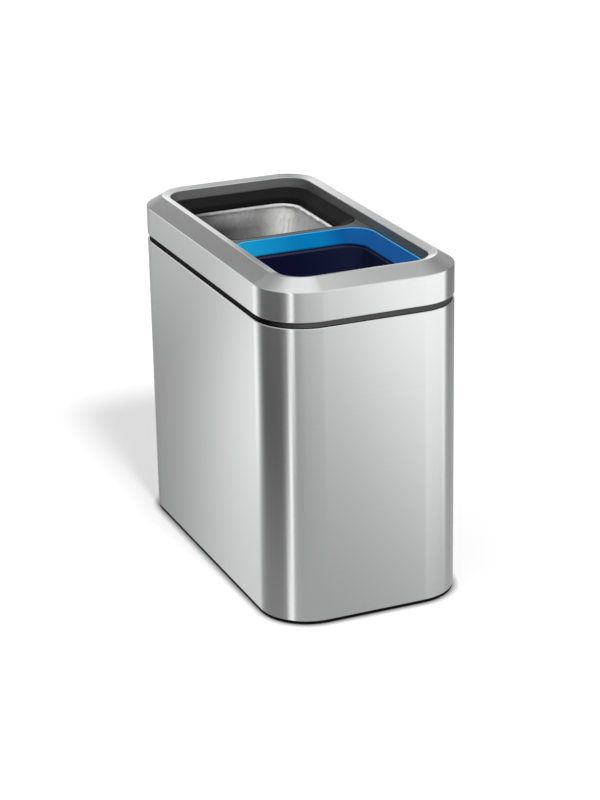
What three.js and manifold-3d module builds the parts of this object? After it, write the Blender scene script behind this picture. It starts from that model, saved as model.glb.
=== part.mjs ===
// Double recycling bin: a slim steel housing with two lift-out buckets under a loose steel ring.
//
// The bin stands on Z = 0 with its centre line on the Z axis. X is the narrow way, Y the long way;
// the recycling bucket is on the -Y side and the trash bucket on the +Y side. Millimetres.
//
// Nearly every piece is the same idea: a cross-section carried round a rounded rectangle. A point of
// such a section is [inset, height], where the inset is how far it lies inside a reference outline.

import * as THREE from 'three';
import { mergeVertices } from 'three/addons/utils/BufferGeometryUtils.js';
import Module from 'manifold-3d';

const wasm = await Module();
wasm.setup();

// ---------------------------------------------------------------------------------------------
// Driving dimensions
// ---------------------------------------------------------------------------------------------

// Housing
const bodyWidth = 250;
const bodyDepth = 468;
const overallHeight = 425;
const cornerRadius = 62; // plan radius of the sleeve and the ring
const steelSheet = 0.8;
const hemDiameter = 3.2; // rolled edges of sleeve and ring
const hemReturn = 5.8; // how far a rolled edge runs back along its sheet
const floorFlange = 12; // the sleeve's bottom edge, turned inwards
const seatGap = 0.3; // between pieces that touch
const slideGap = 0.4; // between walls that slip past each other

// Ring
const ringGap = 6.6; // dark band between sleeve and ring
const bandHeight = 36.2; // upright face of the ring
const bevelInset = 20;
const bevelRise = 12.4;
const rimWidth = 10.5; // flat rim round the mouth
const rimDrop = 2.5; // how far the rim falls towards the mouth
const returnHeight = 12.2; // steel wall turned down inside the mouth
const edgeRound = 0.9; // rounding of the ring's folds

// Moulded frames
const bandRecess = 2.2; // the dark band lies this far inside the steel
const mouldWall = 2.2;
const topFrameReach = 20.4; // inset of the top frame's inner edge
const topFrameSkirt = 20; // how far the top frame's skirt hangs inside the sleeve
const snapBead = 2; // how far a snap bead stands out
const ringLipDepth = 7.4; // lip that centres the ring in the top frame
const ringUpstand = 19.6; // outer wall of the ring frame
const bridgeWidth = 7.4; // strip between the two mouths
const bridgeDepth = 18;

// Collars and buckets
const mouthGap = 0.9; // round a collar, inside its window
const collarRim = 1.4;
const collarWall = 1.8;
const collarSkirt = 24;
const funnelInset = 17.2;
const funnelDepth = 13.6;
const lipHeight = 1.9;
const lipRadius = 27.5; // plan radius at the funnel's lip
const shoulderWidth = 2; // ledge by which a collar sits on its bucket
const bucketWall = 1.8;
const bucketLedge = 0.5; // a bucket's mouth stands this far behind the lip
const bucketTaper = 8; // draft of a bucket, one side, over its height
const bucketRadius = 22.5; // plan radius of a bucket's mouth
const flangeThickness = 2;
const flangeTurndown = 9;
const rimChamfer = 2.1; // eased inner edge of a bucket's mouth
const footRecess = 2; // a bucket stands on a low ring
const footWidth = 5;
const bagFilm = 0.8;
const bagFold = 11.7; // the bag's edge, laid over the bucket's flange

// Base
const padProud = 1; // the tray clears the floor by this much
const padDiameter = 20;
const padInset = 34; // pad centre from the bin's sides
const padRecess = 1.6;
const traySlab = 3;
const trayInset = 0.8;
const trayUpstand = 16;
const footRib = 10; // height of the ribs round a bucket's foot
const footClearance = 0.8;
const ribThickness = 2;
const screwHeadDiameter = 6.4;
const screwHeadHeight = 1.5;
const screwShankDiameter = 3;
const screwLength = 9;
const screwSpacing = 240; // between the two screws of a long side

// Fineness of the corners
const housingCornerSteps = 9;
const bucketCornerSteps = 6;
const roundSteps = 16;

// ---------------------------------------------------------------------------------------------
// Levels and insets that follow from them
// ---------------------------------------------------------------------------------------------

const halfWidth = bodyWidth / 2;
const halfDepth = bodyDepth / 2;
const trayTop = padProud + traySlab;
const sleeveBottom = trayTop + seatGap;
const bandTop = overallHeight - bevelRise;
const ringBottom = bandTop - bandHeight;
const sleeveTop = ringBottom - ringGap;
const topFrameBottom = sleeveTop + seatGap;
const topFrameTop = ringBottom - seatGap;
const mouthInset = bevelInset + rimWidth;
const rimInnerHeight = overallHeight - rimDrop;
const returnBottom = rimInnerHeight - returnHeight;
const frameTop = returnBottom - seatGap;

const windowRadius = cornerRadius - mouthInset;
const windowHalfX = halfWidth - mouthInset;
const windowEndY = halfDepth - mouthInset;
const windowHalfY = (windowEndY - bridgeWidth / 2) / 2;
const compartmentY = bridgeWidth / 2 + windowHalfY;

const collarHalfX = windowHalfX - mouthGap;
const collarHalfY = windowHalfY - mouthGap;
const collarRadius = windowRadius - mouthGap;
const funnelBottom = frameTop - funnelDepth;
const lipBottom = funnelBottom - lipHeight;
const flangeTop = lipBottom - seatGap - bagFilm - seatGap;
const flangeInset = collarWall + slideGap;
const mouthWallInset = funnelInset + bucketLedge;
const footInset = mouthWallInset - bucketWall + bucketTaper;
const bucketBottom = trayTop + seatGap;
const bucketFloor = bucketBottom + footRecess + bucketWall;

const recyclingY = -compartmentY;
const trashY = compartmentY;

// ---------------------------------------------------------------------------------------------
// Shapes
// ---------------------------------------------------------------------------------------------

// Points of a rounded rectangle, counter-clockwise seen from above.
function roundedRectangle(halfX, halfY, radius, steps) {
  const points = [];
  const corners = [
    [halfX - radius, halfY - radius],
    [radius - halfX, halfY - radius],
    [radius - halfX, radius - halfY],
    [halfX - radius, radius - halfY],
  ];
  corners.forEach(([centreX, centreY], quarter) => {
    for (let step = 0; step <= steps; step += 1) {
      const angle = (quarter + step / steps) * (Math.PI / 2);
      points.push(new THREE.Vector2(centreX + radius * Math.cos(angle), centreY + radius * Math.sin(angle)));
    }
  });
  return points;
}

// The housing's outline, drawn in by an inset; its corners stay concentric.
function housingOutline(inset, steps = housingCornerSteps) {
  return roundedRectangle(halfWidth - inset, halfDepth - inset, cornerRadius - inset, steps);
}

// A collar's outline, drawn in. Its corners tighten more slowly than its sides come in, so that the
// funnel widens towards its corners.
const collarTightening = (collarRadius - lipRadius) / funnelInset;
function collarOutline(inset, steps = bucketCornerSteps) {
  return roundedRectangle(collarHalfX - inset, collarHalfY - inset, collarRadius - inset * collarTightening, steps);
}

// A bucket's outline, drawn in from the same sides. At the edge of the flange its corners lie inside
// the collar's skirt, and from there they tighten to the mouth and on down to the foot.
const flangeRadius = collarRadius - collarWall * collarTightening - slideGap;
const bucketTightening = (flangeRadius - bucketRadius) / (mouthWallInset - flangeInset);
function bucketOutline(inset, steps = bucketCornerSteps) {
  const radius = flangeRadius - (inset - flangeInset) * bucketTightening;
  return roundedRectangle(collarHalfX - inset, collarHalfY - inset, radius, steps);
}

// A closed surface through loops of equally many points: a ring when it closes on itself, and
// otherwise a skin with its first and last loops filled.
function loft(loops, closesOnItself) {
  const count = loops[0].length;
  const positions = loops.flat().flatMap((point) => [point.x, point.y, point.z]);
  const faces = [];
  const bands = closesOnItself ? loops.length : loops.length - 1;
  for (let band = 0; band < bands; band += 1) {
    const here = band * count;
    const next = ((band + 1) % loops.length) * count;
    for (let i = 0; i < count; i += 1) {
      const j = (i + 1) % count;
      faces.push(here + i, here + j, next + j, here + i, next + j, next + i);
    }
  }
  if (!closesOnItself) {
    const last = (loops.length - 1) * count;
    for (let i = 1; i < count - 1; i += 1) {
      faces.push(0, i + 1, i, last, last + i, last + i + 1);
    }
  }
  const geometry = new THREE.BufferGeometry();
  geometry.setAttribute('position', new THREE.Float32BufferAttribute(positions, 3));
  geometry.setIndex(faces);
  return facingOut(geometry);
}

function signedVolume(geometry) {
  const position = geometry.getAttribute('position');
  const index = geometry.getIndex();
  const [a, b, c] = [new THREE.Vector3(), new THREE.Vector3(), new THREE.Vector3()];
  let volume = 0;
  for (let i = 0; i < index.count; i += 3) {
    a.fromBufferAttribute(position, index.getX(i));
    b.fromBufferAttribute(position, index.getX(i + 1));
    c.fromBufferAttribute(position, index.getX(i + 2));
    volume += a.dot(b.cross(c)) / 6;
  }
  return volume;
}

// Turns a surface the right way round, whichever way its section was drawn.
function facingOut(geometry) {
  if (signedVolume(geometry) < 0) {
    const index = geometry.getIndex();
    for (let i = 0; i < index.count; i += 3) {
      const second = index.getX(i + 1);
      index.setX(i + 1, index.getX(i + 2));
      index.setX(i + 2, second);
    }
  }
  return geometry;
}

// Carries a section of [inset, height] points round an outline.
function section(outline, points, { closesOnItself = true, centreY = 0, steps } = {}) {
  const loops = points.map(([inset, height]) =>
    outline(inset, steps).map((point) => new THREE.Vector3(point.x, point.y + centreY, height)),
  );
  return loft(loops, closesOnItself);
}

// An upright plate with the given outline.
function plate(points, bottom, top) {
  const geometry = new THREE.ExtrudeGeometry(new THREE.Shape(points), {
    depth: top - bottom,
    bevelEnabled: false,
  });
  return geometry.translate(0, 0, bottom);
}

function box(sizeX, sizeY, sizeZ, x, y, z) {
  return new THREE.BoxGeometry(sizeX, sizeY, sizeZ).translate(x, y, z);
}

// An upright round body from [radius, height] points that start and end on the axis.
function turned(points, x, y) {
  const profile = points.map(([radius, height]) => new THREE.Vector2(radius, height));
  const geometry = new THREE.LatheGeometry(profile, roundSteps).rotateX(Math.PI / 2);
  return geometry.translate(x, y, 0);
}

function upright(diameter, bottom, top, x, y) {
  return turned(
    [
      [0, bottom],
      [diameter / 2, bottom],
      [diameter / 2, top],
      [0, top],
    ],
    x,
    y,
  );
}

// ---------------------------------------------------------------------------------------------
// Joining and cutting
// ---------------------------------------------------------------------------------------------

function merge(geometry) {
  geometry.deleteAttribute('normal');
  geometry.deleteAttribute('uv');
  return mergeVertices(geometry, 1e-4);
}

function toSolid(geometry) {
  const merged = facingOut(merge(geometry.clone()));
  return new wasm.Manifold(
    new wasm.Mesh({
      numProp: 3,
      vertProperties: new Float32Array(merged.getAttribute('position').array),
      triVerts: new Uint32Array(merged.getIndex().array),
    }),
  );
}

function toGeometry(solid) {
  const mesh = solid.getMesh();
  const geometry = new THREE.BufferGeometry();
  geometry.setAttribute('position', new THREE.BufferAttribute(mesh.vertProperties, 3));
  geometry.setIndex(new THREE.BufferAttribute(mesh.triVerts, 1));
  return geometry;
}

const join = (geometries) => geometries.map(toSolid).reduce((sum, solid) => sum.add(solid));
const cut = (solid, geometries) => geometries.map(toSolid).reduce((rest, tool) => rest.subtract(tool), solid);

// ---------------------------------------------------------------------------------------------
// Materials
// ---------------------------------------------------------------------------------------------

const finish = (color, roughness, metalness = 0) => new THREE.MeshStandardMaterial({ color, roughness, metalness });
const brushedSteel = finish(0xb9babb, 0.34, 1);
const blackMoulding = finish(0x1b1b1c, 0.5);
const greyMoulding = finish(0x4b4b4c, 0.5);
const blueMoulding = finish(0x0a6fc0, 0.35);
const navyMoulding = finish(0x0e1230, 0.5);
const greyFilm = finish(0xb4b4b4, 0.45);
const padRubber = finish(0x222222, 0.9);
const screwSteel = finish(0x9a9c9e, 0.35, 1);

const bin = new THREE.Group();

function add(name, geometry, material) {
  geometry.computeVertexNormals();
  const mesh = new THREE.Mesh(geometry, material);
  mesh.name = name;
  bin.add(mesh);
}

// ---------------------------------------------------------------------------------------------
// Outer sleeve
// ---------------------------------------------------------------------------------------------

// Half round of a rolled edge, from the outer face over to the inner one. It rolls over a top edge
// when it rises, and under a bottom edge when it falls.
function rolledEdge(edgeHeight, rises) {
  const radius = hemDiameter / 2;
  const side = rises ? 1 : -1;
  const steps = 6;
  return Array.from({ length: steps + 1 }, (_, step) => {
    const angle = (Math.PI * step) / steps;
    return [radius - radius * Math.cos(angle), edgeHeight + side * radius * (Math.sin(angle) - 1)];
  });
}

const screwCentreInset = (trayInset + floorFlange) / 2;
const screwCentres = [
  [halfWidth - screwCentreInset, screwSpacing / 2],
  [halfWidth - screwCentreInset, -screwSpacing / 2],
  [screwCentreInset - halfWidth, screwSpacing / 2],
  [screwCentreInset - halfWidth, -screwSpacing / 2],
  [0, halfDepth - screwCentreInset],
  [0, screwCentreInset - halfDepth],
];
const screwHole = screwShankDiameter + 2 * seatGap;

const sleeveSection = [
  [floorFlange, sleeveBottom],
  [steelSheet, sleeveBottom],
  [0, sleeveBottom + steelSheet],
  ...rolledEdge(sleeveTop, true),
  [hemDiameter, sleeveTop - hemReturn],
  [steelSheet, sleeveTop - hemReturn],
  [steelSheet, sleeveBottom + steelSheet],
  [floorFlange, sleeveBottom + steelSheet],
];
const flangeHoles = screwCentres.map(([x, y]) =>
  upright(screwHole, sleeveBottom - seatGap, sleeveBottom + steelSheet + seatGap, x, y),
);
const sleeve = cut(toSolid(section(housingOutline, sleeveSection)), flangeHoles);
add('outer_shell', toGeometry(sleeve), brushedSteel);

// ---------------------------------------------------------------------------------------------
// Base tray, pads and screws
// ---------------------------------------------------------------------------------------------

const padX = halfWidth - padInset;
const padY = halfDepth - padInset;
const padCentres = [
  [padX, padY],
  [-padX, padY],
  [-padX, -padY],
  [padX, -padY],
];

const upstandInset = floorFlange + slideGap;
const upstandSection = [
  [upstandInset, trayTop - seatGap],
  [upstandInset, trayTop + trayUpstand],
  [upstandInset + mouldWall, trayTop + trayUpstand],
  [upstandInset + mouldWall, trayTop - seatGap],
];
const footRibSection = [
  [footInset - footClearance, trayTop - seatGap],
  [footInset - footClearance, trayTop + footRib],
  [footInset - footClearance - ribThickness, trayTop + footRib],
  [footInset - footClearance - ribThickness, trayTop - seatGap],
];

// Straight ribs that tie the foot ribs to each other and to the upstand.
const tieTop = trayTop + footRib - ribThickness;
const tieHeight = tieTop - trayTop + seatGap;
const tieZ = tieTop - tieHeight / 2;
const ribOuterInset = footInset - footClearance - ribThickness / 2;
const footRibHalfX = collarHalfX - ribOuterInset;
const footRibHalfY = collarHalfY - ribOuterInset;
const upstandX = halfWidth - upstandInset - mouldWall / 2;
const upstandY = halfDepth - upstandInset - mouldWall / 2;
const sideTieLength = upstandX - footRibHalfX;
const endTieStart = compartmentY + footRibHalfY;
const endTieLength = upstandY - endTieStart;
const middleTieLength = 2 * (compartmentY - footRibHalfY);
const ties = [box(ribThickness, middleTieLength, tieHeight, 0, 0, tieZ)];
for (const side of [-1, 1]) {
  ties.push(box(ribThickness, endTieLength, tieHeight, 0, side * (endTieStart + endTieLength / 2), tieZ));
  for (const centreY of [recyclingY, trashY]) {
    ties.push(box(sideTieLength, ribThickness, tieHeight, side * (footRibHalfX + sideTieLength / 2), centreY, tieZ));
  }
}

const trayBody = join([
  plate(housingOutline(trayInset), padProud, trayTop),
  section(housingOutline, upstandSection),
  section(bucketOutline, footRibSection, { centreY: recyclingY }),
  section(bucketOutline, footRibSection, { centreY: trashY }),
  ...ties,
]);
const headRecessTop = padProud + screwHeadHeight + seatGap;
const trayCuts = [
  ...padCentres.map(([x, y]) => upright(padDiameter + 2 * seatGap, 0, padProud + padRecess, x, y)),
  ...screwCentres.map(([x, y]) => upright(screwHeadDiameter + 2 * slideGap, 0, headRecessTop, x, y)),
  ...screwCentres.map(([x, y]) => upright(screwHole, 0, trayTop + seatGap, x, y)),
];
add('base_tray', toGeometry(cut(trayBody, trayCuts)), blackMoulding);

padCentres.forEach(([x, y], number) => {
  const radius = padDiameter / 2;
  const padTop = padProud + padRecess - seatGap;
  const pad = turned([[0, 0], [radius - padProud, 0], [radius, padProud], [radius, padTop], [0, padTop]], x, y);
  add(`foot_pad_${number + 1}`, merge(pad), padRubber);
});

// A pan-head screw that points up, with a cross recess in its head.
function screw(x, y) {
  const headRadius = screwHeadDiameter / 2;
  const shankRadius = screwShankDiameter / 2;
  const headTop = headRecessTop - seatGap;
  const headBottom = headTop - screwHeadHeight;
  const tip = headTop + screwLength;
  const blank = turned(
    [
      [0, headBottom],
      [headRadius * 0.7, headBottom],
      [headRadius, headBottom + screwHeadHeight * 0.5],
      [headRadius, headTop],
      [shankRadius, headTop],
      [shankRadius, tip - screwShankDiameter],
      [0, tip],
    ],
    x,
    y,
  );
  const slotLength = headRadius;
  const slotWidth = headRadius * 0.25;
  const slotDepth = screwHeadHeight;
  return toGeometry(
    cut(toSolid(blank), [
      box(slotLength, slotWidth, slotDepth, x, y, headBottom),
      box(slotWidth, slotLength, slotDepth, x, y, headBottom),
    ]),
  );
}
screwCentres.forEach(([x, y], number) => add(`base_screw_${number + 1}`, screw(x, y), screwSteel));

// ---------------------------------------------------------------------------------------------
// Top frame: the dark band between sleeve and ring
// ---------------------------------------------------------------------------------------------

const skirtInset = hemDiameter + slideGap;
const hemEnd = sleeveTop - hemReturn;
const skirtBottom = topFrameBottom - topFrameSkirt;
const flangeUnderside = topFrameTop - mouldWall;
const topFrameSection = [
  [bandRecess, topFrameBottom],
  [bandRecess, topFrameTop],
  [topFrameReach, topFrameTop],
  [topFrameReach, flangeUnderside],
  [skirtInset + mouldWall, flangeUnderside],
  [skirtInset + mouldWall, skirtBottom],
  [skirtInset, skirtBottom],
  [skirtInset, hemEnd - seatGap - 2 * snapBead],
  [skirtInset - snapBead, hemEnd - seatGap - snapBead],
  [skirtInset - snapBead, hemEnd - seatGap],
  [skirtInset, hemEnd - seatGap],
  [skirtInset, topFrameBottom],
];
add('shell_top_frame', section(housingOutline, topFrameSection), blackMoulding);

// ---------------------------------------------------------------------------------------------
// Ring: steel cover on a moulded frame
// ---------------------------------------------------------------------------------------------

const bevelSlope = bevelRise / bevelInset;
const rimSlope = rimDrop / rimWidth;
const coverSection = [
  [hemDiameter, ringBottom + hemReturn],
  ...rolledEdge(ringBottom, false).reverse(),
  [0, bandTop - edgeRound],
  [edgeRound * 0.3, bandTop - edgeRound * 0.3],
  [edgeRound, bandTop + edgeRound * bevelSlope],
  [bevelInset - edgeRound, overallHeight - edgeRound * bevelSlope],
  [bevelInset, overallHeight],
  [bevelInset + edgeRound, overallHeight],
  [mouthInset - edgeRound, rimInnerHeight + edgeRound * rimSlope],
  [mouthInset - edgeRound * 0.3, rimInnerHeight - edgeRound * 0.3],
  [mouthInset, rimInnerHeight - edgeRound],
  [mouthInset, returnBottom],
  [mouthInset - steelSheet, returnBottom],
  [mouthInset - steelSheet, rimInnerHeight - edgeRound],
  [bevelInset, overallHeight - steelSheet - edgeRound * bevelSlope],
  [steelSheet, bandTop - steelSheet * bevelSlope],
  [steelSheet, ringBottom + hemReturn],
];
add('ring_cover', section(housingOutline, coverSection), brushedSteel);

const frameWallInset = mouthInset - mouldWall;
const ringFlangeTop = ringBottom + mouldWall;
const ringHemEnd = ringBottom + hemReturn + seatGap;
const ringLipInset = topFrameReach + slideGap;
const channelSection = [
  [skirtInset, ringBottom],
  [skirtInset, ringHemEnd],
  [skirtInset - snapBead, ringHemEnd],
  [skirtInset - snapBead, ringHemEnd + snapBead],
  [skirtInset, ringHemEnd + 2 * snapBead],
  [skirtInset, ringBottom + ringUpstand],
  [skirtInset + mouldWall, ringBottom + ringUpstand],
  [skirtInset + mouldWall, ringFlangeTop],
  [frameWallInset, ringFlangeTop],
  [frameWallInset, frameTop],
  [mouthInset, frameTop],
  [mouthInset, ringBottom],
  [ringLipInset + mouldWall, ringBottom],
  [ringLipInset + mouldWall, ringBottom - ringLipDepth],
  [ringLipInset, ringBottom - ringLipDepth],
  [ringLipInset, ringBottom],
];

// The bridge is what is left of a bar across the mouth once both windows are cut out of it, so it
// flares into a rounded web at each end. It is hollow from below, as a moulding is.
const bridgeBottom = frameTop - bridgeDepth;
const barHalfY = bridgeWidth / 2 + windowRadius * 0.85;
function windowCutter(grow, bottom, top, centreY) {
  const outline = roundedRectangle(
    windowHalfX + grow,
    windowHalfY + grow,
    windowRadius + grow,
    bucketCornerSteps,
  );
  return plate(outline, bottom, top).translate(0, centreY, 0);
}
function betweenWindows(halfX, halfY, bottom, top, grow) {
  const bar = box(2 * halfX, 2 * halfY, top - bottom, 0, 0, (top + bottom) / 2);
  const windows = [recyclingY, trashY].map((y) => windowCutter(grow, bottom - seatGap, top + seatGap, y));
  return cut(toSolid(bar), windows);
}
const bridge = betweenWindows(windowHalfX + mouldWall / 2, barHalfY, bridgeBottom, frameTop, 0);
const bridgeHollow = betweenWindows(
  windowHalfX - mouldWall / 2,
  barHalfY - mouldWall,
  bridgeBottom - seatGap,
  frameTop - mouldWall,
  mouldWall,
);
const ringFrame = toSolid(section(housingOutline, channelSection)).add(bridge.subtract(bridgeHollow));
add('ring_frame', toGeometry(ringFrame), greyMoulding);

// ---------------------------------------------------------------------------------------------
// Collars
// ---------------------------------------------------------------------------------------------

// A collar is a funnel round the mouth of its bucket, with a skirt that hangs outside the bucket's
// flange and a ledge inside the skirt that sits on it. The funnel's underside runs parallel to its
// face, one wall below.
const funnelSlope = (funnelDepth - collarWall / 2) / (funnelInset - collarRim);
const wallDrop = collarWall * Math.sqrt(1 + funnelSlope * funnelSlope);
const funnelUnderside = (inset) => frameTop - wallDrop - (inset - collarRim) * funnelSlope;
const skirtBottomHeight = frameTop - collarSkirt;
const shoulderInset = collarWall + shoulderWidth;
const lipBack = funnelInset - collarWall * 0.7;
const collarSection = [
  [0, skirtBottomHeight],
  [0, frameTop - collarRim / 2],
  [collarRim / 3, frameTop],
  [collarRim, frameTop],
  [funnelInset - collarRim / 3, funnelBottom + collarRim / 2],
  [funnelInset, funnelBottom],
  [funnelInset, lipBottom],
  [lipBack, lipBottom],
  [lipBack, funnelUnderside(lipBack)],
  [shoulderInset, funnelUnderside(shoulderInset)],
  [shoulderInset, flangeTop + seatGap],
  [collarWall, flangeTop + seatGap],
  [collarWall, skirtBottomHeight],
];
const collar = (centreY) => section(collarOutline, collarSection, { centreY });
add('trash_collar', collar(trashY), blackMoulding);
add('recycling_collar', collar(recyclingY), blueMoulding);

// ---------------------------------------------------------------------------------------------
// Buckets
// ---------------------------------------------------------------------------------------------

// Section of a bucket from the middle of its underside, out and up over the flange, and down inside.
const bucketOuter = mouthWallInset - bucketWall;
const bucketFoot = bucketBottom + footRecess;
const bucketSection = [
  [footInset + 2 * footWidth + footRecess, bucketFoot],
  [footInset + 2 * footWidth, bucketBottom],
  [footInset + footWidth, bucketBottom],
  [footInset + footWidth / 4, bucketBottom + footWidth / 4],
  [footInset, bucketBottom + footWidth],
  [bucketOuter, flangeTop - flangeThickness],
  [flangeInset + bucketWall, flangeTop - flangeThickness],
  [flangeInset + bucketWall, flangeTop - flangeTurndown],
  [flangeInset, flangeTop - flangeTurndown],
  [flangeInset, flangeTop - bucketWall / 2],
  [flangeInset + bucketWall / 2, flangeTop],
  [mouthWallInset - rimChamfer / 2, flangeTop],
  [mouthWallInset, flangeTop - rimChamfer],
  [footInset + bucketWall, bucketFloor + footWidth],
  [footInset + bucketWall + footWidth / 4, bucketFloor + footWidth / 4],
  [footInset + bucketWall + footWidth, bucketFloor],
];
const bucket = (centreY) => section(bucketOutline, bucketSection, { closesOnItself: false, centreY });
add('trash_bucket', bucket(trashY), blackMoulding);
add('recycling_bucket', bucket(recyclingY), navyMoulding);

// ---------------------------------------------------------------------------------------------
// Bag
// ---------------------------------------------------------------------------------------------

// The film follows the inside of the trash bucket and folds out over its flange, under the lip.
const filmGap = seatGap + 0.1;
const bagEdgeInset = mouthWallInset - bagFold;
const bagSection = [
  [footInset + bucketWall + footWidth + filmGap, bucketFloor + filmGap],
  [footInset + bucketWall + footWidth / 4 + filmGap, bucketFloor + footWidth / 4 + filmGap],
  [footInset + bucketWall + filmGap, bucketFloor + footWidth + filmGap],
  [mouthWallInset + filmGap, flangeTop - rimChamfer],
  [mouthWallInset - rimChamfer / 2 + filmGap, flangeTop + seatGap],
  [bagEdgeInset, flangeTop + seatGap],
  [bagEdgeInset, flangeTop + seatGap + bagFilm],
  [mouthWallInset - rimChamfer / 2 + filmGap + bagFilm / 2, flangeTop + seatGap + bagFilm],
  [mouthWallInset + filmGap + bagFilm, flangeTop - rimChamfer + bagFilm / 2],
  [footInset + bucketWall + filmGap + bagFilm, bucketFloor + footWidth + filmGap],
  [footInset + bucketWall + footWidth / 4 + filmGap + bagFilm, bucketFloor + footWidth / 4 + filmGap + bagFilm],
  [footInset + bucketWall + footWidth + filmGap + bagFilm, bucketFloor + filmGap + bagFilm],
];
add('trash_bag', section(bucketOutline, bagSection, { closesOnItself: false, centreY: trashY }), greyFilm);

export default bin;
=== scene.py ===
# %% [markdown]
# # A double recycling bin
# The bin is a slim steel sleeve with a loose steel ring on top. Two plastic buckets stand side by side
# in it, each with a funnel collar round its mouth, and the rear bucket holds a film bag. The solids of
# the bin are already at their right size and place. This lesson gives them the looks of the real
# thing: smooth pressed steel, moulded plastic and a soft bag.

# %% Load the solids and keep their outer size
import math

import bmesh
import bpy
from mathutils import Matrix, Vector, noise


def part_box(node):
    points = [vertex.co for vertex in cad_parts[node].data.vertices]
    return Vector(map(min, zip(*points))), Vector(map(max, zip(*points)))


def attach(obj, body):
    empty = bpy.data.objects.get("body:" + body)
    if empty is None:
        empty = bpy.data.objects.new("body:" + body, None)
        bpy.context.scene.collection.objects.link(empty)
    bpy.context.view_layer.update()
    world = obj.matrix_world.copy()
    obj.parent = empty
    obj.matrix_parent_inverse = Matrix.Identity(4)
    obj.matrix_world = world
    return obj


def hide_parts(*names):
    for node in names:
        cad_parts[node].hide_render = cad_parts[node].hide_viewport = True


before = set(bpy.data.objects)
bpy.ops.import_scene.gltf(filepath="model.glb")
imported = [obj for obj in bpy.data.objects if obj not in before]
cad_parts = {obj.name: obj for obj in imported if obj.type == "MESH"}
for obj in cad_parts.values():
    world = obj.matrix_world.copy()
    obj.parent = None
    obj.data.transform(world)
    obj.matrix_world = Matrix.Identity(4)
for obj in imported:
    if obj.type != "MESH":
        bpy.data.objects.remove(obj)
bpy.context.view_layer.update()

# %% [markdown]
# ## The camera
# The camera comes first, because everything is seen through it. The picture looks down a little and
# sees the narrow front and one long side. A long lens keeps the upright edges nearly parallel. Yaw,
# pitch and roll are easier to read than a rotation matrix, so the camera is placed from those.

# %% Camera at the angle of the photograph
CAMERA_YAW = math.radians(-22.86)
CAMERA_PITCH = math.radians(20.60)
CAMERA_ROLL = math.radians(-1.08)
CAMERA_DISTANCE = 2.917
CAMERA_AIM = Vector((0.0044, 0.0010, 0.1918))
CAMERA_LENS = 104.7  # millimetres, for a long side of 36


def only(*objects):
    """Leaves just these objects selected, in object mode, with the first one active."""
    if bpy.context.object is not None and bpy.context.object.mode != "OBJECT":
        bpy.ops.object.mode_set(mode="OBJECT")
    bpy.ops.object.select_all(action="DESELECT")
    for item in objects:
        item.select_set(True)
    if objects:
        bpy.context.view_layer.objects.active = objects[0]


def place_camera():
    only()
    bpy.ops.object.camera_add()
    camera = bpy.context.object
    camera.name = "studio_camera"
    camera.data.lens = CAMERA_LENS
    back = Vector((
        math.sin(CAMERA_YAW) * math.cos(CAMERA_PITCH),
        -math.cos(CAMERA_YAW) * math.cos(CAMERA_PITCH),
        math.sin(CAMERA_PITCH),
    ))
    level_right = Vector((math.cos(CAMERA_YAW), math.sin(CAMERA_YAW), 0))
    right = Matrix.Rotation(CAMERA_ROLL, 3, back) @ level_right
    axes = Matrix((right, back.cross(right), back)).transposed()
    camera.matrix_world = Matrix.Translation(CAMERA_AIM + CAMERA_DISTANCE * back) @ axes.to_4x4()
    bpy.context.scene.camera = camera
    return camera


camera = place_camera()
print("camera at", [round(value, 4) for value in camera.location])

# %% [markdown]
# ## Nodes
# Each finish is built from nodes: a colour, a grain that moves the roughness a little, and a fine bump.
# A number that is the same all over sits on the shader itself. By hand the nodes are quick to wire in
# the Shader Editor. In code that gets long, so the links that come back again and again have helpers.

# %% Links, sums and mixes


def feed(tree, socket, value):
    """Links another node's output to a socket, or writes a plain number or colour on it."""
    if isinstance(value, bpy.types.NodeSocket):
        tree.links.new(value, socket)
    else:
        socket.default_value = (*value, 1) if isinstance(value, tuple) else value


def calculate(tree, operation, first, second):
    node = tree.nodes.new("ShaderNodeMath")
    node.operation = operation
    feed(tree, node.inputs[0], first)
    feed(tree, node.inputs[1], second)
    return node.outputs[0]


def mix_colours(tree, factor, first, second, blend_type="MIX"):
    mix = tree.nodes.new("ShaderNodeMix")
    mix.data_type = "RGBA"
    mix.blend_type = blend_type
    feed(tree, mix.inputs["Factor"], factor)
    feed(tree, mix.inputs["A"], first)
    feed(tree, mix.inputs["B"], second)
    return mix.outputs["Result"]


def spread(tree, value, low, high, low_in=0.25, high_in=0.75, interpolation="LINEAR"):
    """Maps a value to the range from low to high. Most noise lies between the two inner limits."""
    scaled = tree.nodes.new("ShaderNodeMapRange")
    scaled.interpolation_type = interpolation
    scaled.inputs["From Min"].default_value = low_in
    scaled.inputs["From Max"].default_value = high_in
    scaled.inputs["To Min"].default_value = low
    scaled.inputs["To Max"].default_value = high
    tree.links.new(value, scaled.inputs["Value"])
    return scaled.outputs["Result"]


# %% Grain, bump and a bare material


def grain(tree, source, scale, detail=2.0, noise_scale=1.0):
    """A noise stretched by scale over the given coordinates. Returns its value, from 0 to 1."""
    mapping = tree.nodes.new("ShaderNodeMapping")
    mapping.inputs["Scale"].default_value = scale
    tree.links.new(source, mapping.inputs["Vector"])
    texture = tree.nodes.new("ShaderNodeTexNoise")
    texture.inputs["Scale"].default_value = noise_scale
    texture.inputs["Detail"].default_value = detail
    tree.links.new(mapping.outputs["Vector"], texture.inputs["Vector"])
    return texture.outputs["Fac"]


def object_place(tree):
    return tree.nodes.new("ShaderNodeTexCoord").outputs["Object"]


def split_axes(tree, place):
    """The three coordinates of a place, by the names X, Y and Z."""
    split = tree.nodes.new("ShaderNodeSeparateXYZ")
    tree.links.new(place, split.inputs["Vector"])
    return split.outputs


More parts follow.
